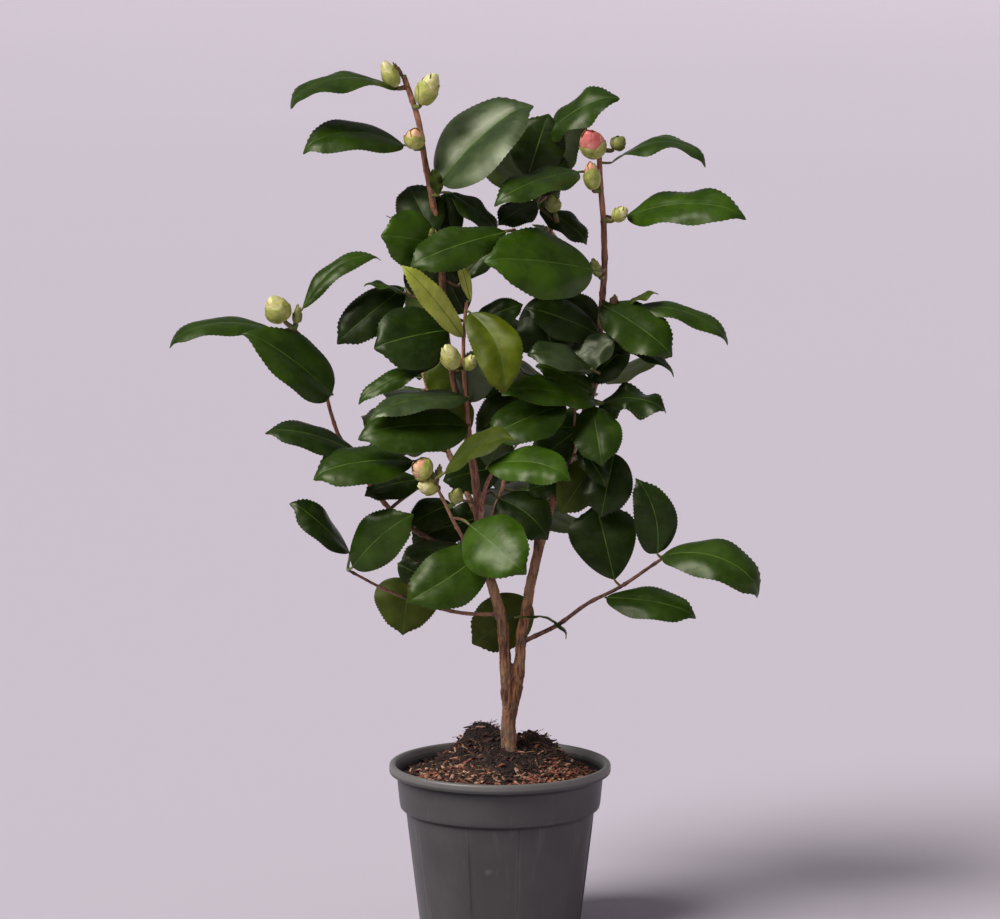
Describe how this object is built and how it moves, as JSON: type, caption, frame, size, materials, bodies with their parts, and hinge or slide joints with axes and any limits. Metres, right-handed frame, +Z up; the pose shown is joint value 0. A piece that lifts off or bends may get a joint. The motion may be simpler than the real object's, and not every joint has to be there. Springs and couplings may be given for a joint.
{
  "type": "potted camellia shrub",
  "caption": "Young camellia shrub with glossy toothed leaves and swelling buds, growing in a tapered grey nursery pot filled with mulched soil.",
  "frame": {"origin": "middle of the pot's flat underside", "axes": "+Z up along the plant's height, -Y the plant's front, +X to the right as seen from the front"},
  "size_m": [0.452, 0.3181, 0.6726],
  "materials": {
    "pot": "satin",
    "soil": "matte",
    "bark": "matte",
    "foliage": "gloss"
  },
  "bodies": {
    "root": {"pot": "pot", "soil": "soil", "trunk": "bark", "arm_left": "bark", "arm_left_tip": "bark", "arm_low_left": "bark", "arm_low_right": "bark", "bough_back_left": "bark", "bough_back_low": "bark", "bough_back_right": "bark", "bough_front": "bark", "bough_front_low": "bark", "leader_back": "bark", "leader_centre": "bark", "leader_left": "bark", "leader_right": "bark", "stem_left": "bark", "stem_right": "bark", "spray_arm_buds": "foliage", "spray_arm_hanging": "foliage", "spray_arm_inner": "foliage", "spray_arm_rising": "foliage", "spray_arm_tip": "foliage", "spray_back_high": "foliage", "spray_back_left": "foliage", "spray_back_low": "foliage", "spray_back_right": "foliage", "spray_back_top": "foliage", "spray_back_upper": "foliage", "spray_centre_left": "foliage", "spray_centre_lower": "foliage", "spray_centre_right": "foliage", "spray_centre_young": "foliage", "spray_front_high": "foliage", "spray_front_middle": "foliage", "spray_left_broad": "foliage", "spray_left_buds": "foliage", "spray_left_lower": "foliage", "spray_left_middle": "foliage", "spray_left_second": "foliage", "spray_left_side": "foliage", "spray_left_top": "foliage", "spray_low_back": "foliage", "spray_low_curled": "foliage", "spray_low_front": "foliage", "spray_low_hanging": "foliage", "spray_low_inner": "foliage", "spray_low_left": "foliage", "spray_low_left_tip": "foliage", "spray_low_right": "foliage", "spray_low_right_tip": "foliage", "spray_low_right_up": "foliage", "spray_right_buds": "foliage", "spray_right_inner": "foliage", "spray_right_low": "foliage", "spray_right_lower": "foliage", "spray_right_middle": "foliage", "spray_right_second": "foliage", "spray_right_top": "foliage"}
  },
  "joints": []
}
